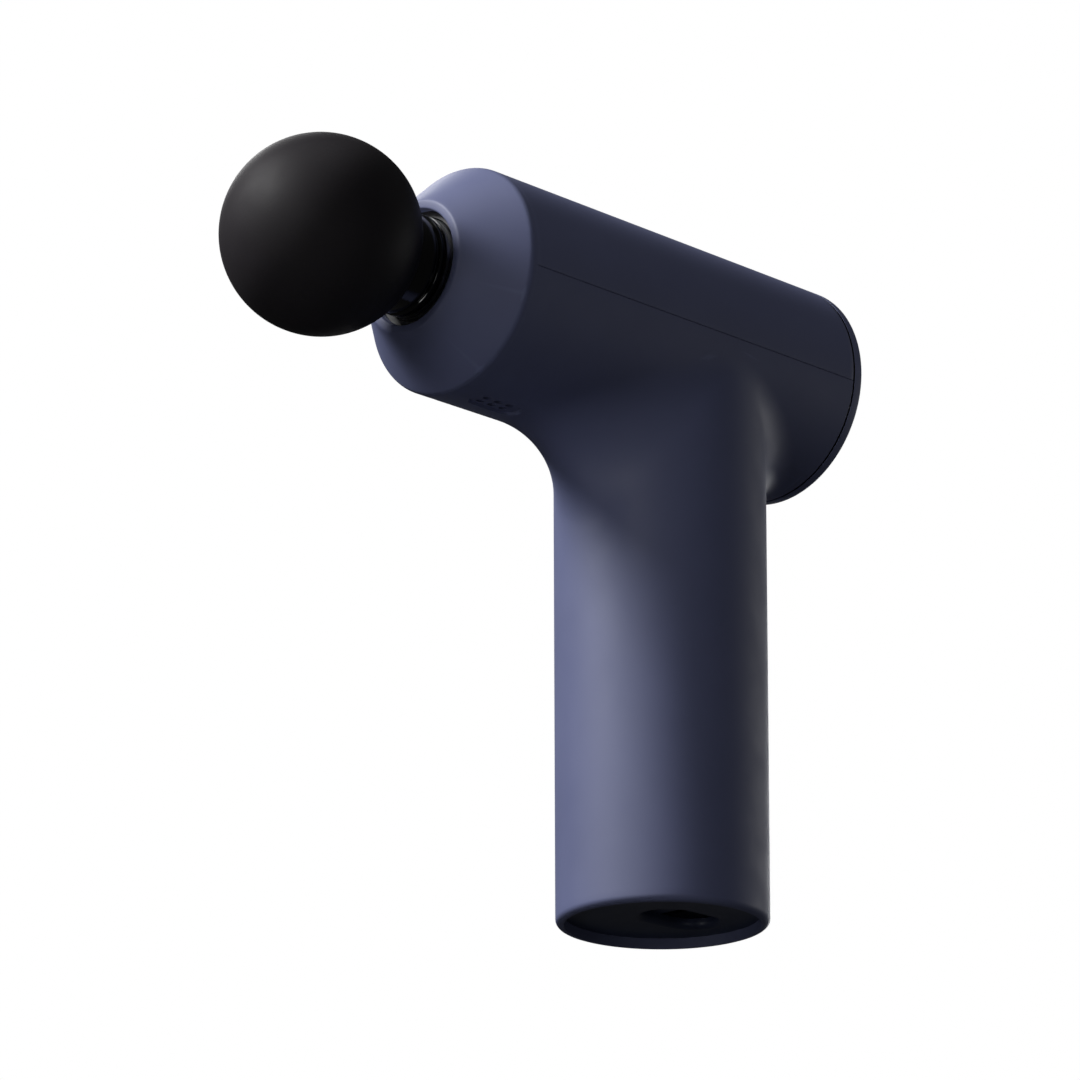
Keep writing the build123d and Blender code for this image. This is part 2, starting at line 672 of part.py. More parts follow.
NODES = [
    lower_shell, nose_cone, top_cover, rear_cap, base_cap, nose_seal, vent_mesh,
    end_plate, end_plate_screws, button_board, button_switch, indicator_leds, light_pipes,
    power_button,
    battery_cells, battery_holder_bottom, battery_holder_top, battery_tabs, battery_leads,
    charge_board, charge_board_parts, charge_board_screws, usb_c_port,
    drive_frame, frame_screws, frame_dampers, linear_bush,
    stator_base, stator_core, stator_coils, motor_screws, motor_bearings, motor_leads,
    rotor_can, rotor_magnets, motor_shaft, shaft_clip, crank_wheel, crank_set_screw,
    connecting_rod, big_end_bearing, crank_pin, small_end_bush,
    plunger, wrist_pin, socket_liner,
    massage_ball, head_stem, shank_orings,
    main_board, main_board_parts, main_board_screws,
]

os.makedirs("parts", exist_ok=True)
for make in NODES:
    export_step(make(), f"parts/{make.__name__}.step")
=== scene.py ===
from math import acos, asin, atan2, cos, pi, radians, sin, sqrt

import bmesh
import bpy
from mathutils import Matrix, Vector


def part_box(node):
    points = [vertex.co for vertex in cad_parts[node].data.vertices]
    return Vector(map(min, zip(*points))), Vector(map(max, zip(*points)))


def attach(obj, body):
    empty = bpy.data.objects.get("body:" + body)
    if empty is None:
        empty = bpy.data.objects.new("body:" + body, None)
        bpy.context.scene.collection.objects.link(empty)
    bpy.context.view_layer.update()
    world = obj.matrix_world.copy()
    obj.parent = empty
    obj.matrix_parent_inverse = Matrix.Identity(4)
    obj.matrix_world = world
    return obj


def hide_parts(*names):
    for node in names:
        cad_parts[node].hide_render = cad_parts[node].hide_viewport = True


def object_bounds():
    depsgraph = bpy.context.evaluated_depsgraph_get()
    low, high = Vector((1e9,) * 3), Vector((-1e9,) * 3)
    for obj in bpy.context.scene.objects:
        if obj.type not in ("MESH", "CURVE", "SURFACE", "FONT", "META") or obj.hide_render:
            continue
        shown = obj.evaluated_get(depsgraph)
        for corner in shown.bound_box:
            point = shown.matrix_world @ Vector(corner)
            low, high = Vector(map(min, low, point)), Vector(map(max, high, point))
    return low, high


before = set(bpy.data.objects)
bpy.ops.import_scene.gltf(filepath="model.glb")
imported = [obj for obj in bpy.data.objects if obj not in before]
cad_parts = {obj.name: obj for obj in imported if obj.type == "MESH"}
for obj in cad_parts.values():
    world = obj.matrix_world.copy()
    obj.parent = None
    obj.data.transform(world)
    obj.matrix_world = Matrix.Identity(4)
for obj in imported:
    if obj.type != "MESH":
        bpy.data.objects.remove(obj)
cad_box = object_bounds()

# ------------------------------------------------------------------ lower shell
# The lower half of the barrel and the handle, moulded in one piece from glass-filled nylon and sprayed
# with a soft-touch coat. The handle flares into the barrel, wider in front than behind. Its skin is one
# closed loop of rings that runs up the outside, over the parting edge and down the inside.

MM = 0.001
WALL = 2.0
HANDLE_FOOT_R = 21.0
HANDLE_DRAFT = 0.56
FRONT_FLARE = 19.0
REAR_FLARE = 10.0
RING_SIDES = 144
RIM_BORE = 19.3
LEDGE_Z = 4.3
LIP_ROUND = 1.3
RIM_ROUND = 0.25
PARTING_ROUND = 0.12
VENT_X = -46.0
VENT_LENGTH = 11.8
VENT_WIDTH = 4.3
VENT_DEPTH = 0.6
VENT_SLOPE = 0.8
SLOT_LENGTH = 1.9
SLOT_WIDTH = 1.2
SLOT_PLACES = [(dx, dy) for dx in (-3, 0, 3) for dy in (-0.95, 0.95)]

shell_low, shell_high = (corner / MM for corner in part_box("lower_shell"))
cap_low, cap_high = (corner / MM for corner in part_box("rear_cap"))
axis_z = (cap_low.z + cap_high.z) / 2
barrel_r = (cap_high.z - cap_low.z) / 2
barrel_front, barrel_back = shell_low.x, shell_high.x
seam_z = shell_high.z
seam_drop = axis_z - seam_z
rear_corner = radians(45)
front_corner = radians(150)


def handle_radius(z):
    """The handle's radius, which grows by its moulding draft from the foot to the barrel's axis."""
    return HANDLE_FOOT_R + HANDLE_DRAFT * z / axis_z


def flare(angle):
    """Radius and centre of the ball that rolls round the inside corner, at one heading of the handle."""
    radius = (FRONT_FLARE + REAR_FLARE) / 2 - (FRONT_FLARE - REAR_FLARE) / 2 * cos(angle)
    z = axis_z - barrel_r
    for _ in range(3):
        reach = handle_radius(z) + radius
        x, y = reach * cos(angle), reach * sin(angle)
        z = axis_z - sqrt((barrel_r + radius) ** 2 - y * y)
    return radius, Vector((x, y, z))


def flare_point(angle, share, depth):
    """Point on the flare, from the handle (share 0) to the barrel (share 1), at a depth under the skin."""
    radius, centre = flare(angle)
    to_handle = Vector((-cos(angle), -sin(angle), 0))
    to_barrel = Vector((0, -centre.y, axis_z - centre.z)).normalized()
    sweep = to_handle.angle(to_barrel)
    direction = to_handle * sin((1 - share) * sweep) + to_barrel * sin(share * sweep)
    return centre + direction / sin(sweep) * (radius + depth)


def handle_point(angle, share, depth, foot):
    """Point on the handle's wall, from its foot (share 0) to where the flare starts (share 1)."""
    z = foot + (flare(angle)[1].z - foot) * share
    radius = handle_radius(z) - depth
    return Vector((radius * cos(angle), radius * sin(angle), z))


def parting_point(angle, depth):
    """Where the edge of the shell lies for one heading: its x, and its angle round the barrel."""
    top = acos(seam_drop / (barrel_r - depth))
    side = 1 if angle <= pi else -1
    turn = angle if angle <= pi else 2 * pi - angle
    if turn <= rear_corner:
        return barrel_back, side * top * turn / rear_corner
    if turn >= front_corner:
        return barrel_front, side * top * (pi - turn) / (pi - front_corner)
    along = (turn - rear_corner) / (front_corner - rear_corner)
    return barrel_back + (barrel_front - barrel_back) * along, side * top


def barrel_point(angle, share, depth):
    """Point on the barrel, from the top of the flare (share 0) to the parting edge (share 1)."""
    start = flare_point(angle, 1, depth)
    start_turn = asin(start.y / (barrel_r - depth))
    end_x, end_turn = parting_point(angle, depth)
    x = start.x + (end_x - start.x) * share
    turn = start_turn + (end_turn - start_turn) * share
    radius = barrel_r - depth
    return Vector((x, radius * sin(turn), axis_z - radius * cos(turn)))


def shell_places():
    """Where each ring of the skin lies, and which of them is the outer parting edge."""
    handle_steps = [0, 0.03] + [k / 12 for k in range(1, 13)]
    flare_steps = [k / 20 for k in range(1, 21)]
    barrel_steps = [k / 30 for k in range(1, 30)] + [0.99, 1]
    places = []
    for foot, depth, order in ((0, 0, 1), (LEDGE_Z, WALL, -1)):
        skin = [lambda a, s=s, d=depth, f=foot: handle_point(a, s, d, f) for s in handle_steps]
        skin += [lambda a, s=s, d=depth: flare_point(a, s, d) for s in flare_steps]
        skin += [lambda a, s=s, d=depth: barrel_point(a, s, d) for s in barrel_steps]
        places += skin[::order]
    places.append(lambda a: Vector((RIM_BORE * cos(a), RIM_BORE * sin(a), LEDGE_Z)))
    return places, len(places) // 2


def round_edges(bm, edges, width, segments):
    bmesh.ops.bevel(
        bm, geom=edges, offset=width, offset_type="OFFSET", segments=segments, profile=0.5,
        affect="EDGES", material=-1, clamp_overlap=True,
    )


def make_piece(bm, name, body, slot, *nodes, sharp=35):
    """Turns a finished bmesh in millimetres into an object in metres that stands for CAD nodes."""
    bmesh.ops.scale(bm, vec=(MM, MM, MM), verts=bm.verts)
    mesh = bpy.data.meshes.new(name)
    bm.to_mesh(mesh)
    bm.free()
    mesh.shade_smooth()
    mesh.set_sharp_from_angle(angle=radians(sharp))
    piece = bpy.data.objects.new(name, mesh)
    bpy.context.scene.collection.objects.link(piece)
    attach(piece, body)
    if nodes:
        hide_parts(*nodes)
    return piece


def blank_material(name):
    material = bpy.data.materials.new(name)
    material.use_nodes = True
    return material, material.node_tree, material.node_tree.nodes["Principled BSDF"]


def cloud(tree, place, per_metre, detail, distortion=0.0):
    """Soft random pattern, with features of one over per_metre."""
    noise = tree.nodes.new("ShaderNodeTexNoise")
    noise.inputs["Scale"].default_value = per_metre
    noise.inputs["Detail"].default_value = detail
    noise.inputs["Distortion"].default_value = distortion
    tree.links.new(place, noise.inputs["Vector"])
    return noise.outputs[0]


def blend_colours(tree, share, first, second):
    """Mixes two colours, either of which may be a socket."""
    mix = tree.nodes.new("ShaderNodeMix")
    mix.data_type = "RGBA"
    tree.links.new(share, mix.inputs[0])
    for socket, value in ((mix.inputs[6], first), (mix.inputs[7], second)):
        if isinstance(value, bpy.types.NodeSocket):
            tree.links.new(value, socket)
        else:
            socket.default_value = (*value, 1.0)
    return mix.outputs[2]


def remap(tree, value, low, high, new_low, new_high):
    ramp = tree.nodes.new("ShaderNodeMapRange")
    for socket, number in zip(ramp.inputs[1:5], (low, high, new_low, new_high)):
        socket.default_value = number
    tree.links.new(value, ramp.inputs[0])
    return ramp.outputs[0]


def tint_between(tree, shader, share, colour, drift):
    """Lets the colour drift either side of its mean, and pales it a little where edges are rubbed."""
    even = remap(tree, share, 0.3, 0.7, 0.0, 1.0)
    darker = tuple(c * (1 - drift) for c in colour)
    paler = tuple(c * (1 + drift) for c in colour)
    body = blend_colours(tree, even, darker, paler)
    edge = tree.nodes.new("ShaderNodeNewGeometry").outputs["Pointiness"]
    rubbed = remap(tree, edge, 0.53, 0.62, 0.0, 0.3)
    worn = tuple(c * 1.5 + 0.01 for c in colour)
    tree.links.new(blend_colours(tree, rubbed, body, worn), shader.inputs["Base Color"])


def rough_between(tree, shader, share, smooth, rough):
    tree.links.new(remap(tree, share, 0.3, 0.7, smooth, rough), shader.inputs["Roughness"])


def raise_surface(tree, shader, layers):
    """Stacks height layers, each a pattern and its height in millimetres, into the surface normal."""
    normal = None
    for pattern, height in layers:
        bump = tree.nodes.new("ShaderNodeBump")
        bump.inputs["Distance"].default_value = height * MM
        tree.links.new(pattern, bump.inputs["Height"])
        if normal:
            tree.links.new(normal, bump.inputs["Normal"])
        normal = bump.outputs["Normal"]
    tree.links.new(normal, shader.inputs["Normal"])


def moulded(name, colour, drift, roughness, grain_mm, grain_height, gloss=0.5, pores=0.0):
    """A moulded or sprayed plastic skin: colour drift, handling marks in the gloss, and a fine grain."""
    material, tree, shader = blank_material(name)
    place = tree.nodes.new("ShaderNodeTexCoord").outputs["Object"]
    tint_between(tree, shader, cloud(tree, place, 45, 3), colour, drift)
    rough_between(tree, shader, cloud(tree, place, 130, 5, 0.4), roughness * 0.92, roughness * 1.08)
    grain = cloud(tree, place, 1 / (grain_mm * MM), 3)
    layers = [(grain, grain_height)]
    if pores:
        cells = tree.nodes.new("ShaderNodeTexVoronoi")
        cells.inputs["Scale"].default_value = 1 / (pores * MM)
        tree.links.new(place, cells.inputs["Vector"])
        layers.append((remap(tree, cells.outputs["Distance"], 0.0, 0.35, 0.0, 1.0), grain_height * 0.6))
    raise_surface(tree, shader, layers)
    shader.inputs["Specular IOR Level"].default_value = gloss
    return material


def wear(piece, material):
    """Gives a piece its one material."""
    piece.data.materials.clear()
    piece.data.materials.append(material)


def dress(material, *nodes):
    """Gives the slots of CAD nodes a material."""
    for node in nodes:
        for material_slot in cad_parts[node].material_slots:
            material_slot.material = material


def obround(bm, length, width, z, x=0.0, y=0.0, sides=32):
    """Closed ring of edges, round-ended along X."""
    ring = bmesh.ops.create_circle(bm, segments=sides, radius=width / 2)["verts"]
    bmesh.ops.rotate(bm, verts=ring, matrix=Matrix.Rotation(pi / sides, 3, "Z"))
    for side in (-1, 1):
        half = [v for v in ring if v.co.x * side > 0]
        bmesh.ops.translate(bm, verts=half, vec=(side * (length - width) / 2, 0, 0))
    bmesh.ops.translate(bm, verts=ring, vec=(x, y, z))
    return list({e for v in ring for e in v.link_edges})


def cut_away(piece, cutter_bm):
    """Cuts a bmesh of closed tools, in millimetres, out of a piece."""
    bmesh.ops.scale(cutter_bm, vec=(MM, MM, MM), verts=cutter_bm.verts)
    bmesh.ops.recalc_face_normals(cutter_bm, faces=cutter_bm.faces)
    tool_mesh = bpy.data.meshes.new("cutter")
    cutter_bm.to_mesh(tool_mesh)
    cutter_bm.free()
    tool = bpy.data.objects.new("cutter", tool_mesh)
    bpy.context.scene.collection.objects.link(tool)
    cut = piece.modifiers.new("cut", "BOOLEAN")
    cut.operation = "DIFFERENCE"
    cut.solver = "EXACT"
    cut.object = tool
    graph = bpy.context.evaluated_depsgraph_get()
    mesh = bpy.data.meshes.new_from_object(piece.evaluated_get(graph))
    piece.modifiers.clear()
    piece.data = mesh
    mesh.shade_smooth()
    mesh.set_sharp_from_angle(angle=radians(35))
    bpy.data.objects.remove(tool)


def obround_bar(bm, length, width, z0, z1, x, y=0.0, sides=32, taper=0.0):
    """Closed obround bar from z0 to z1, wider by the taper all round at z0."""
    foot = obround(bm, length + 2 * taper, width + 2 * taper, z0, x, y, sides)
    head = obround(bm, length, width, z1, x, y, sides)
    bmesh.ops.bridge_loops(bm, edges=foot + head)
    bmesh.ops.contextual_create(bm, geom=foot)
    bmesh.ops.contextual_create(bm, geom=head)


def grow_rings(bm, edges, places):
    """Extrudes a ring of edges once for each place, and sets every new point from its heading."""
    ring = {v for e in edges for v in e.verts}
    heading = {v: atan2(v.co.y, v.co.x) % (2 * pi) for v in ring}
    edge_rings = [edges]
    for place in places:
        grown = bmesh.ops.extrude_edge_only(bm, edges=edge_rings[-1])["geom"]
        fresh = [g for g in grown if isinstance(g, bmesh.types.BMVert)]
        for v in fresh:
            below = next(e.other_vert(v) for e in v.link_edges if e.other_vert(v) in ring)
            heading[v] = heading[below]
        for v in fresh:
            v.co = place(heading[v])
        ring = set(fresh)
        edge_rings.append([e for e in bm.edges if e.verts[0] in ring and e.verts[1] in ring])
    return edge_rings


shell_bm = bmesh.new()
bmesh.ops.create_circle(shell_bm, segments=RING_SIDES, radius=RIM_BORE)
places, parting_ring = shell_places()
edge_rings = grow_rings(shell_bm, list(shell_bm.edges), places)
bmesh.ops.bridge_loops(shell_bm, edges=edge_rings[0] + edge_rings[-1])
bmesh.ops.recalc_face_normals(shell_bm, faces=shell_bm.faces)
parting_edges = [e for e in edge_rings[parting_ring] if any(v.co.x > barrel_front + 0.01 for v in e.verts)]
foot_edges = edge_rings[1]
rim_edges = edge_rings[0]
round_edges(shell_bm, foot_edges, LIP_ROUND, 7)
round_edges(shell_bm, rim_edges, RIM_ROUND, 2)
round_edges(shell_bm, parting_edges, PARTING_ROUND, 2)
lower_shell = make_piece(shell_bm, "barrel_and_handle", "housing", "shell_soft_touch", "lower_shell")

vent_tools = bmesh.new()
skin_z = axis_z - barrel_r
obround_bar(
    vent_tools, VENT_LENGTH, VENT_WIDTH, skin_z - 0.4, skin_z + VENT_DEPTH, VENT_X, sides=64,
    taper=VENT_SLOPE,
)
cut_away(lower_shell, vent_tools)
slot_tools = bmesh.new()
for dx, dy in SLOT_PLACES:
    obround_bar(slot_tools, SLOT_LENGTH, SLOT_WIDTH, skin_z - 1, skin_z + 4, VENT_X + dx, dy, 12)
cut_away(lower_shell, slot_tools)
soft_touch = moulded("soft-touch navy coat", (0.102, 0.1165, 0.222), 0.04, 0.58, 0.22, 0.004)
wear(lower_shell, soft_touch)

# ------------------------------------------------------------------ nose cone
# A moulded ring that closes the front of the barrel and carries the nose seal, in the same nylon and the
# same soft-touch coat as the shells. Its spigot is glued into the barrel, so no joint shows.

EDGE_HOLD = 1.1
CONE_EDGE_X = -57.9
LIP_R = 13.43
OPENING_R = 11.64
SEAL_POCKET_R = 13.5
SEAL_FRONT_X = -66.6
SEAL_BACK_X = -63.2
FUNNEL_R = 15.8
FUNNEL_BACK_X = -59.1
SPIGOT_BORE = 19.5
SPIGOT_R = 20.95
cone_low, cone_high = (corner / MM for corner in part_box("nose_cone"))


def hold_ends(corners):
    """Adds a point just inside each end of every long side, so that rubbed edges stay narrow."""
    held = []
    for start, end in zip(corners, corners[1:]):
        held.append(start)
        side = end - start
        if side.length > 3 * EDGE_HOLD:
            held.append(start + side.normalized() * EDGE_HOLD)
            held.append(end - side.normalized() * EDGE_HOLD)
    return held


def turned(points, steps=RING_SIDES):
    """Solid of revolution about the barrel's axis, from (x, radius) points in order."""
    closed = points[0][1] > 0 or points[-1][1] > 0
    corners = [Vector((x, 0, axis_z + r)) for x, r in points]
    held = hold_ends(corners + corners[:1]) if closed else hold_ends(corners) + corners[-1:]
    bm = bmesh.new()
    verts = [bm.verts.new(co) for co in held]
    edges = [bm.edges.new(pair) for pair in zip(verts, verts[1:])]
    if closed:
        edges.append(bm.edges.new((verts[-1], verts[0])))
    bmesh.ops.spin(
        bm, geom=verts + edges, cent=(0, 0, axis_z), axis=(1, 0, 0), angle=2 * pi, steps=steps,
        use_merge=True,
    )
    bmesh.ops.remove_doubles(bm, verts=bm.verts, dist=0.0005)
    bmesh.ops.recalc_face_normals(bm, faces=bm.faces)
    return bm


def hoop(bm, x, r):
    """The circular edges of a turned piece at one x and radius."""
    def on_hoop(co):
        return abs(co.x - x) < 0.002 and abs(sqrt(co.y ** 2 + (co.z - axis_z) ** 2) - r) < 0.002
    return [e for e in bm.edges if on_hoop(e.verts[0].co) and on_hoop(e.verts[1].co)]


cone_bm = turned([
    (barrel_front, barrel_r), (CONE_EDGE_X, barrel_r), (cone_low.x, LIP_R), (cone_low.x, OPENING_R),
    (SEAL_FRONT_X, OPENING_R), (SEAL_FRONT_X, SEAL_POCKET_R), (SEAL_BACK_X, SEAL_POCKET_R),
    (SEAL_BACK_X, FUNNEL_R), (FUNNEL_BACK_X, SPIGOT_BORE), (cone_high.x, SPIGOT_BORE),
    (cone_high.x, SPIGOT_R), (barrel_front, SPIGOT_R),
])
round_edges(cone_bm, hoop(cone_bm, CONE_EDGE_X, barrel_r), 0.6, 6)
round_edges(cone_bm, hoop(cone_bm, cone_low.x, LIP_R), 0.35, 4)
round_edges(cone_bm, hoop(cone_bm, cone_low.x, OPENING_R), 0.4, 4)
nose_cone = make_piece(cone_bm, "nose_ring", "housing", "shell_soft_touch", "nose_cone")
wear(nose_cone, soft_touch)

# ------------------------------------------------------------------ top cover
# The upper shell of the barrel, which lifts off to reach the drive. It meets the lower shell along a
# straight side seam just under the middle of the barrel, with both edges finely rounded.

SEAM_GAP = 0.12
cover_turn = pi - acos(seam_drop / barrel_r) - SEAM_GAP / barrel_r
cover_bm = bmesh.new()
inner_r = barrel_r - WALL
section = [(barrel_front, barrel_r), (barrel_back, barrel_r), (barrel_back, inner_r), (barrel_front, inner_r)]
outline = [Vector((x, 0, axis_z + r)) for x, r in section]
corners = [cover_bm.verts.new(co) for co in hold_ends(outline + outline[:1])]
cover_edges = [cover_bm.edges.new(pair) for pair in zip(corners, corners[1:] + corners[:1])]
start_turn = Matrix.Rotation(-cover_turn, 3, "X")
bmesh.ops.rotate(cover_bm, verts=corners, cent=(0, 0, axis_z), matrix=start_turn)
bmesh.ops.spin(
    cover_bm, geom=corners + cover_edges, cent=(0, 0, axis_z), axis=(1, 0, 0), angle=2 * cover_turn,
    steps=112,
)
bmesh.ops.remove_doubles(cover_bm, verts=cover_bm.verts, dist=0.0005)
bmesh.ops.holes_fill(cover_bm, edges=[e for e in cover_bm.edges if e.is_boundary], sides=8)
bmesh.ops.recalc_face_normals(cover_bm, faces=cover_bm.faces)
cover_rim = [
    e for e in cover_bm.edges
    if e.calc_face_angle(0) > radians(60)
    and all((v.co - Vector((v.co.x, 0, axis_z))).length > barrel_r - 0.1 for v in e.verts)
    and any(v.co.x > barrel_front + 0.01 for v in e.verts)
]
round_edges(cover_bm, cover_rim, PARTING_ROUND, 2)
top_cover = make_piece(cover_bm, "barrel_top_cover", "housing", "shell_soft_touch", "top_cover")
wear(top_cover, soft_touch)

# ------------------------------------------------------------------ rear cap
# A moulded disc that plugs the back of the barrel on a short skirt, a shadow gap behind the shells. The
# power button stands in its middle hole, under three small windows for the speed lights.

BUTTON_HOLE_R = 6.6
SKIRT_X = 31.4
SKIRT_R = 20.9
SKIRT_BORE = 19.4
CAP_FACE_X = 34.15
CAP_ROUND = 0.45
LIGHT_HEIGHT = 11.0
LIGHT_PITCH = 4.0
WINDOW_LENGTH = 2.8
WINDOW_WIDTH = 1.3
WINDOW_BAND = (9.8, 13.3)            # radii of two flat rings that keep the windows' worn edges narrow
# Bare uncoated nylon for the faces in the shadow gap, made much darker than the black nylon inside: partly
# the real bare nylon, partly painted shade in the gap.
gap_shade_nylon = moulded("bare nylon painted dark as gap shade", (0.004, 0.004, 0.005), 0.15, 0.6, 0.4, 0.008, gloss=0.3)


def paint_gap_shade(piece, is_inside):
    """Gives the faces inside the shadow gap, which the spray doesn't reach, bare nylon made near-black:
    painted shade that deepens the gap's shadow.
    """
    piece.data.materials.append(gap_shade_nylon)
    for face in piece.data.polygons:
        if is_inside(face):
            face.material_index = 1


cap_bm = turned([
    (cap_high.x, BUTTON_HOLE_R), (cap_high.x, WINDOW_BAND[0]), (cap_high.x, WINDOW_BAND[1]),
    (cap_high.x, barrel_r), (CAP_FACE_X, barrel_r), (CAP_FACE_X, SKIRT_R),
    (SKIRT_X, SKIRT_R), (SKIRT_X, SKIRT_BORE), (CAP_FACE_X, SKIRT_BORE), (CAP_FACE_X, BUTTON_HOLE_R),
])
round_edges(cap_bm, hoop(cap_bm, cap_high.x, barrel_r), CAP_ROUND, 4)
round_edges(cap_bm, hoop(cap_bm, CAP_FACE_X, barrel_r), 0.06, 1)
round_edges(cap_bm, hoop(cap_bm, cap_high.x, BUTTON_HOLE_R), 0.3, 3)
rear_cap = make_piece(cap_bm, "rear_end_cap", "housing", "shell_soft_touch", "rear_cap")
window_tools = bmesh.new()
for y in (-LIGHT_PITCH, 0, LIGHT_PITCH):
    obround_bar(window_tools, WINDOW_LENGTH, WINDOW_WIDTH, CAP_FACE_X - 1, cap_high.x + 1, y, 0, 16)
up_to_rearward = Matrix(((0, 0, 1), (1, 0, 0), (0, 1, 0)))
bmesh.ops.transform(window_tools, matrix=up_to_rearward.to_4x4(), verts=window_tools.verts)
bmesh.ops.translate(window_tools, vec=(0, 0, axis_z + LIGHT_HEIGHT), verts=window_tools.verts)
cut_away(rear_cap, window_tools)
wear(rear_cap, soft_touch)
# The faces inside the shadow gap, on the cap and at the back of both shells, get the near-black bare nylon as
# painted shade.
paint_gap_shade(rear_cap, lambda face: face.center.x < (CAP_FACE_X + 0.01) * MM)
paint_gap_shade(lower_shell, lambda face: face.center.x > (barrel_back - 0.01) * MM)
paint_gap_shade(top_cover, lambda face: face.center.x > (barrel_back - 0.01) * MM)

# ------------------------------------------------------------------ power button
# One round key in the rear cap, moulded and coated like the shells, with a shallow dish for the thumb.
# Its flange behind the cap keeps it in, and its stub presses the switch.

KEY_R = 6.3
DISH_R = 4.8
DISH_DEPTH = 0.45
FLANGE_R = 7.6
FLANGE_FRONT_X = 32.95
FLANGE_BACK_X = 33.8
STUB_R = 1.5
key_low, key_high = (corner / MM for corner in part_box("power_button"))
dish = [
    (key_high.x - DISH_DEPTH * (1 - (r / DISH_R) ** 2), r) for r in (0, 1.2, 2.4, 3.4, 4.2, DISH_R)
]
flange_and_stub = [
    (key_high.x, KEY_R), (FLANGE_BACK_X, KEY_R), (FLANGE_BACK_X, FLANGE_R), (FLANGE_FRONT_X, FLANGE_R),
    (FLANGE_FRONT_X, STUB_R), (key_low.x, STUB_R), (key_low.x, 0),
]
key_bm = turned(dish + flange_and_stub, 96)
round_edges(key_bm, hoop(key_bm, key_high.x, KEY_R), 0.35, 4)
power_button = make_piece(key_bm, "power_key", "button", "shell_soft_touch", "power_button")
wear(power_button, soft_touch)

# ------------------------------------------------------------------ base plate
# A satin plate snapped into the foot of the handle, set back from the rim. An obround pocket with a soft
# mouth leads the charging plug to the socket in its floor.

plate_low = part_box("base_cap")[0] / MM
PLATE_R = 19.25
PLATE_THICKNESS = 2.0
POCKET_LENGTH = 16.8
POCKET_WIDTH = 10.0
POCKET_X = 4.8
POCKET_DEPTH = 3.8
CUP_WALL = 1.5
SOCKET_LENGTH = 9.3
SOCKET_WIDTH = 3.6


def lift_ring(bm, edges, height):
    """Extrudes a ring of edges straight up and gives the new ring."""
    grown = bmesh.ops.extrude_edge_only(bm, edges=edges)["geom"]
    fresh = {g for g in grown if isinstance(g, bmesh.types.BMVert)}
    bmesh.ops.translate(bm, verts=list(fresh), vec=(0, 0, height))
    return [g for g in grown if isinstance(g, bmesh.types.BMEdge) and set(g.verts) <= fresh]


plate_bm = bmesh.new()
pocket_floor = plate_low.z + POCKET_DEPTH
foot_ring = obround(plate_bm, 2 * PLATE_R, 2 * PLATE_R, plate_low.z, sides=96)
mouth_ring = obround(plate_bm, POCKET_LENGTH, POCKET_WIDTH, plate_low.z, POCKET_X, sides=96)
bmesh.ops.bridge_loops(plate_bm, edges=foot_ring + mouth_ring)
floor_ring = lift_ring(plate_bm, mouth_ring, POCKET_DEPTH)
socket_ring = obround(plate_bm, SOCKET_LENGTH, SOCKET_WIDTH, pocket_floor, POCKET_X, sides=96)
bmesh.ops.bridge_loops(plate_bm, edges=floor_ring + socket_ring)
socket_top = lift_ring(plate_bm, socket_ring, CUP_WALL)
cup_length = POCKET_LENGTH + 2 * CUP_WALL
cup_width = POCKET_WIDTH + 2 * CUP_WALL
cup_top = obround(plate_bm, cup_length, cup_width, pocket_floor + CUP_WALL, POCKET_X, sides=96)
bmesh.ops.bridge_loops(plate_bm, edges=socket_top + cup_top)
cup_foot = lift_ring(plate_bm, cup_top, plate_low.z + PLATE_THICKNESS - pocket_floor - CUP_WALL)
plate_top = lift_ring(plate_bm, foot_ring, PLATE_THICKNESS)
bmesh.ops.bridge_loops(plate_bm, edges=cup_foot + plate_top)
bmesh.ops.recalc_face_normals(plate_bm, faces=plate_bm.faces)
round_edges(plate_bm, mouth_ring, 1.4, 7)
round_edges(plate_bm, floor_ring, 0.8, 4)
round_edges(plate_bm, socket_ring, 0.25, 2)
base_plate = make_piece(plate_bm, "base_plate", "housing", "base_plate_plastic", "base_cap")
satin_plate = moulded("satin base plate", (0.020, 0.027, 0.060), 0.12, 0.42, 0.25, 0.006, gloss=0.3)
wear(base_plate, satin_plate)

# ------------------------------------------------------------------ massage ball
# A firm ball of closed-cell foam moulded round the barbed core of its stem. Its skin is matt and nearly
# black, with the fine open pores of the mould's blasted surface.

ball_low, ball_high = (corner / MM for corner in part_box("massage_ball"))
ball_r = (ball_high.z - ball_low.z) / 2
ball_x = ball_low.x + ball_r
COLLAR_BODY_R = 10.1
CORE_FACE_X = -76.9
CORE_NECK_R = 6.0
BARB_X = -85.9
BARB_R = 9.0
CORE_TIP_X = -88.9
CORE_TIP_R = 8.0
core_outline = [
    (CORE_FACE_X, COLLAR_BODY_R), (CORE_FACE_X, CORE_NECK_R), (BARB_X, CORE_NECK_R), (BARB_X, BARB_R),
    (CORE_TIP_X, CORE_TIP_R), (CORE_TIP_X, 0),
]
mouth_turn = pi - asin(COLLAR_BODY_R / ball_r)
ball_bm = bmesh.new()
pole = ball_bm.verts.new((ball_low.x, 0, axis_z))
bmesh.ops.spin(
    ball_bm, geom=[pole], cent=(ball_x, 0, axis_z), axis=(0, 1, 0), angle=mouth_turn, steps=80,
)
last = max(ball_bm.verts, key=lambda v: v.co.x)
for x, r in core_outline:
    step = ball_bm.verts.new((x, 0, axis_z + r))
    ball_bm.edges.new((last, step))
    last = step
bmesh.ops.spin(
    ball_bm, geom=list(ball_bm.verts) + list(ball_bm.edges), cent=(0, 0, axis_z), axis=(1, 0, 0),
    angle=2 * pi, steps=160, use_merge=True,
)
bmesh.ops.remove_doubles(ball_bm, verts=ball_bm.verts, dist=0.0005)
bmesh.ops.recalc_face_normals(ball_bm, faces=ball_bm.faces)
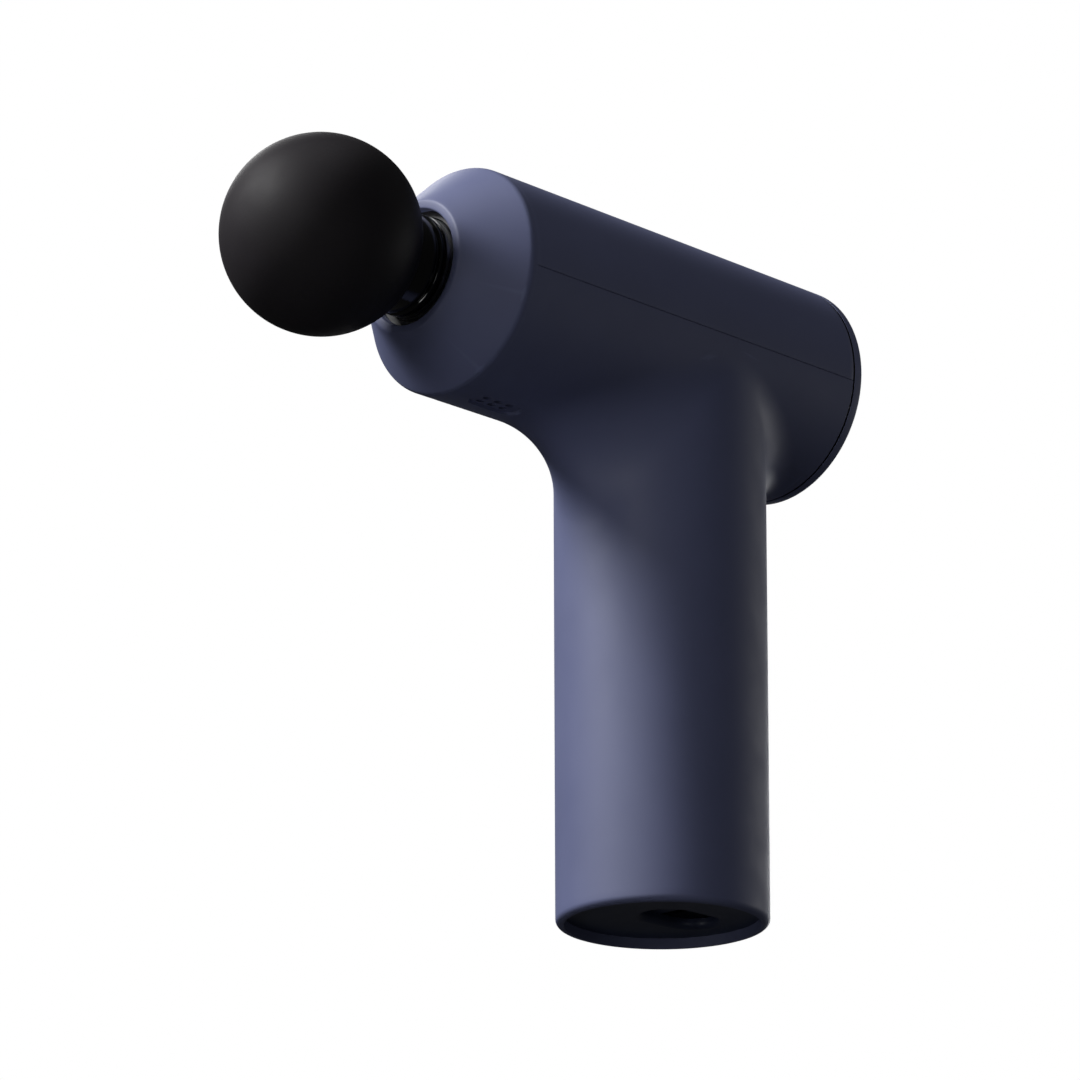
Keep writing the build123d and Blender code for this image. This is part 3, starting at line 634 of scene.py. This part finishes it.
mouth_r = ball_r * sin(mouth_turn)
round_edges(ball_bm, hoop(ball_bm, ball_x - ball_r * cos(mouth_turn), mouth_r), 0.35, 3)
massage_ball = make_piece(ball_bm, "foam_ball", "head", "head_foam", "massage_ball")
foam = moulded(
    "closed-cell foam", (0.0175, 0.0155, 0.0182), 0.15, 0.60, 0.35, 0.012, gloss=0.12, pores=0.9,
)
wear(massage_ball, foam)

# ------------------------------------------------------------------ head stem
# The glossy moulding that the ball is formed on: a barbed core, a collar with a groove round it that
# seats against the plunger, and a shank with two ring grooves that pushes into the plunger.

SHANK_R = 6.9
SHANK_CHAMFER = 0.8
RING_GROOVES = (-56.9, -64.4)
RING_GROOVE_R = 5.37
COLLAR_X = -68.9
COLLAR_R = 10.24
COLLAR_GROOVE_X = (-70.1, -70.4, -70.7, -71.0)
COLLAR_GROOVE_R = 9.75
stem_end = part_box("head_stem")[1].x / MM
shank = [(stem_end, 0), (stem_end, SHANK_R - SHANK_CHAMFER), (stem_end - SHANK_CHAMFER, SHANK_R)]
for x in RING_GROOVES:
    shank += [(x + 1, SHANK_R), (x + 1, RING_GROOVE_R), (x - 1, RING_GROOVE_R), (x - 1, SHANK_R)]
groove_radii = (COLLAR_R, COLLAR_GROOVE_R, COLLAR_GROOVE_R, COLLAR_BODY_R)
collar = [(COLLAR_X, SHANK_R), (COLLAR_X, COLLAR_R), *zip(COLLAR_GROOVE_X, groove_radii)]
stem_bm = turned(shank + collar + core_outline)
round_edges(stem_bm, hoop(stem_bm, COLLAR_X, COLLAR_R), 0.4, 5)
round_edges(stem_bm, hoop(stem_bm, COLLAR_GROOVE_X[0], COLLAR_R), 0.15, 3)
round_edges(stem_bm, hoop(stem_bm, COLLAR_GROOVE_X[-1], COLLAR_BODY_R), 0.5, 5)
head_stem = make_piece(stem_bm, "head_stem_and_collar", "head", "gloss_black", "head_stem")
polished_black = moulded(
    "polished black nylon", (0.003, 0.003, 0.0035), 0.2, 0.12, 0.9, 0.001, gloss=0.4,
)
wear(head_stem, polished_black)

# ------------------------------------------------------------------ rubber parts
# The nose seal that keeps lint out round the plunger, the dampers that the drive frame stands on and the
# two rings on the head's shank, all moulded in black nitrile rubber with a dusty bloom.

rubber = moulded("nitrile rubber", (0.012, 0.012, 0.013), 0.3, 0.62, 0.5, 0.012)
dress(rubber, "nose_seal", "frame_dampers", "shank_orings")

# ------------------------------------------------------------------ plunger, drive frame and rod
# Die-cast and turned alloy parts: the hollow plunger that slides in the bush, the frame that carries the
# bush and the motor, the rod that drives the plunger, and the motor's foot.


def machined(name, colour, roughness, turning_mm, axis):
    """Bare metal with fine machining rings along one axis, dull patches and bright worn edges."""
    material, tree, shader = blank_material(name)
    place = tree.nodes.new("ShaderNodeTexCoord").outputs["Object"]
    stretch = tree.nodes.new("ShaderNodeMapping")
    scale = [30.0, 30.0, 30.0]
    scale["XYZ".index(axis)] = 1 / (turning_mm * MM)
    stretch.inputs["Scale"].default_value = scale
    tree.links.new(place, stretch.inputs["Vector"])
    rings = cloud(tree, stretch.outputs["Vector"], 1.0, 3)
    patches = cloud(tree, place, 160, 4)
    tint_between(tree, shader, patches, colour, 0.18)
    rough_between(tree, shader, rings, roughness * 0.75, roughness * 1.3)
    raise_surface(tree, shader, [(rings, 0.002)])
    shader.inputs["Metallic"].default_value = 1.0
    return material


turned_alloy = machined("turned aluminium", (0.52, 0.53, 0.55), 0.30, 0.12, "X")
cast_alloy = machined("cast aluminium", (0.40, 0.41, 0.42), 0.48, 1.5, "Z")
dress(turned_alloy, "plunger")
dress(cast_alloy, "drive_frame", "connecting_rod", "stator_base")

# ------------------------------------------------------------------ steel parts
# Ground pins, shaft, bearings and crank wheel, zinc-plated screws, the nickelled magnets, the battery
# tabs and the drawn shell of the charging socket.

ground_steel = machined("ground steel", (0.56, 0.56, 0.57), 0.20, 0.2, "Z")
screw_steel = machined("zinc-plated steel", (0.48, 0.49, 0.50), 0.34, 0.3, "Z")
nickel = machined("nickel strip", (0.58, 0.55, 0.50), 0.26, 0.5, "Y")
dress(ground_steel, "motor_shaft", "crank_pin", "wrist_pin", "motor_bearings", "big_end_bearing")
dress(ground_steel, "shaft_clip", "crank_wheel")
dress(screw_steel, "end_plate_screws", "charge_board_screws", "frame_screws", "motor_screws")
dress(screw_steel, "main_board_screws", "crank_set_screw")
dress(nickel, "battery_tabs", "usb_c_port", "rotor_magnets")

# ------------------------------------------------------------------ motor
# An outer-rotor motor: a blackened steel can with its magnets turns round a stack of lacquered
# laminations, each tooth wound with enamelled copper wire. The vent mesh is the same blackened steel.

blackened_steel = machined("blackened steel", (0.07, 0.07, 0.075), 0.42, 0.8, "Z")
laminations = machined("lacquered laminations", (0.10, 0.12, 0.11), 0.45, 0.35, "Z")
copper = machined("enamelled copper", (0.62, 0.25, 0.10), 0.28, 0.4, "Z")
dress(blackened_steel, "rotor_can", "vent_mesh")
dress(laminations, "stator_core")
dress(copper, "stator_coils")

# ------------------------------------------------------------------ bushes and inner mouldings
# Sintered bronze for the rod's small bush, slippery natural-white acetal for the plunger's bush and the
# socket's liner, and black nylon for the end plate, the cell holders and the switch.

bronze = machined("sintered bronze", (0.42, 0.27, 0.12), 0.45, 0.9, "Z")
dress(bronze, "small_end_bush")
acetal = moulded("natural acetal", (0.68, 0.66, 0.58), 0.06, 0.38, 0.6, 0.004)
black_nylon = moulded("black nylon", (0.02, 0.02, 0.022), 0.15, 0.45, 0.4, 0.008)
dress(acetal, "linear_bush", "socket_liner")
dress(black_nylon, "end_plate", "battery_holder_bottom", "battery_holder_top", "button_switch")

# ------------------------------------------------------------------ battery and boards
# Two lithium cells in blue shrink sleeves, the glass-epoxy boards under green solder mask, their black
# packages, and red silicone leads.

sleeve = moulded("cell sleeve", (0.03, 0.16, 0.34), 0.1, 0.33, 2.5, 0.01)
solder_mask = moulded("green solder mask", (0.01, 0.09, 0.04), 0.35, 0.30, 0.7, 0.006)
packages = moulded("black epoxy packages", (0.015, 0.015, 0.017), 0.2, 0.5, 0.2, 0.01)
silicone = moulded("red silicone", (0.42, 0.02, 0.015), 0.1, 0.5, 0.5, 0.008)
dress(sleeve, "battery_cells")
dress(solder_mask, "main_board", "charge_board", "button_board")
dress(packages, "main_board_parts", "charge_board_parts")
dress(silicone, "battery_leads", "motor_leads")

# ------------------------------------------------------------------ indicator lights
# Three clear acrylic pipes carry the speed lights to flush windows in the rear cap. Unlit, they look
# milky grey.

clear_acrylic = moulded("milky acrylic", (0.55, 0.58, 0.62), 0.05, 0.18, 0.8, 0.002)
dress(clear_acrylic, "light_pipes", "indicator_leds")

# ------------------------------------------------------------------ camera
# A long lens from the front left, below the tool and looking up at it.

AZIMUTH = radians(-44.154)
ELEVATION = radians(-18.505)
ROLL = radians(0.112)
DISTANCE = 0.89557
AIM = Vector((0, 0, 0.060))
SHIFT_LEFT = 0.024087
SHIFT_UP = 0.01846
back = Vector((sin(AZIMUTH) * cos(ELEVATION), -cos(AZIMUTH) * cos(ELEVATION), sin(ELEVATION)))
level = Vector((cos(AZIMUTH), sin(AZIMUTH), 0))
rise = back.cross(level)
right = cos(ROLL) * level + sin(ROLL) * rise
up = cos(ROLL) * rise - sin(ROLL) * level
lens = bpy.data.cameras.new("camera")
lens.lens = 149.66
lens.sensor_width = 36.0
lens.clip_start = 0.01
lens.clip_end = 50.0
camera = bpy.data.objects.new("camera", lens)
facing = Matrix((right, up, back)).transposed().to_4x4()
camera_place = AIM + back * DISTANCE - right * SHIFT_LEFT + up * SHIFT_UP
camera.matrix_world = Matrix.Translation(camera_place) @ facing
bpy.context.scene.collection.objects.link(camera)
bpy.context.scene.camera = camera

# ------------------------------------------------------------------ studio
# A pale floor, lit from within and well below the tool, a white surround, and round soft boxes over a
# metre away: a strong key high on the left, weak fills in front and below, and a few behind for the edges.

FLOOR_Z = -0.45
FLOOR_COLOUR = (0.86, 0.86, 0.87)
floor_bm = bmesh.new()
bmesh.ops.create_grid(floor_bm, x_segments=8, y_segments=8, size=6.0)
bmesh.ops.translate(floor_bm, verts=floor_bm.verts, vec=(0, 0, FLOOR_Z))
floor_mesh = bpy.data.meshes.new("studio_floor")
floor_bm.to_mesh(floor_mesh)
floor_bm.free()
studio_floor = bpy.data.objects.new("studio_floor", floor_mesh)
studio_floor.visible_diffuse = False
studio_floor.visible_glossy = False
bpy.context.scene.collection.objects.link(studio_floor)
floor_paint = moulded("pale floor", FLOOR_COLOUR, 0.02, 0.7, 40.0, 0.02)
floor_shader = floor_paint.node_tree.nodes["Principled BSDF"]
floor_shader.inputs["Emission Color"].default_value = (*FLOOR_COLOUR, 1.0)
floor_shader.inputs["Emission Strength"].default_value = 0.7
wear(studio_floor, floor_paint)

BOX_DISTANCE = 1.2
BOX_SIZE = 0.4
FILL_STRENGTH = 0.035
SOFT_BOXES = {                       # turn to the right of the camera, rise above level, watts
    "key": (-75, 40, 20.5),
    "front fill": (-25, 5, 2.3),
    "low fill": (-50, -30, 3.8),
    "low front": (20, -30, 1.1),
    "top": (0, 80, 1.2),
    "right edge": (123, 5, 1.7),
    "back": (160, 5, 2.8),
    "high back": (-160, 40, 3.0),
}
middle = (cad_box[0] + cad_box[1]) / 2
for name, (turn, height, watts) in SOFT_BOXES.items():
    lamp = bpy.data.lights.new(name, "AREA")
    lamp.shape = "DISK"
    lamp.size = BOX_SIZE
    lamp.energy = watts
    heading = AZIMUTH + radians(turn)
    climb = radians(height)
    way = Vector((sin(heading) * cos(climb), -cos(heading) * cos(climb), sin(climb)))
    soft_box = bpy.data.objects.new(name, lamp)
    facing_in = way.to_track_quat("Z", "Y").to_matrix().to_4x4()
    soft_box.matrix_world = Matrix.Translation(middle + way * BOX_DISTANCE) @ facing_in
    bpy.context.scene.collection.objects.link(soft_box)

surround = bpy.data.worlds.new("white surround")
surround.use_nodes = True
bpy.context.scene.world = surround
sky = surround.node_tree
seen = sky.nodes["Background"]
seen.inputs["Color"].default_value = (1.0, 1.0, 1.0, 1.0)
fill = sky.nodes.new("ShaderNodeBackground")
fill.inputs["Strength"].default_value = FILL_STRENGTH
fill.inputs["Color"].default_value = (1.0, 1.0, 1.0, 1.0)
choose = sky.nodes.new("ShaderNodeMixShader")
sky.links.new(sky.nodes.new("ShaderNodeLightPath").outputs["Is Camera Ray"], choose.inputs["Fac"])
sky.links.new(fill.outputs["Background"], choose.inputs[1])
sky.links.new(seen.outputs["Background"], choose.inputs[2])
sky.links.new(choose.outputs["Shader"], sky.nodes["World Output"].inputs["Surface"])
bpy.context.scene.view_settings.view_transform = "Standard"
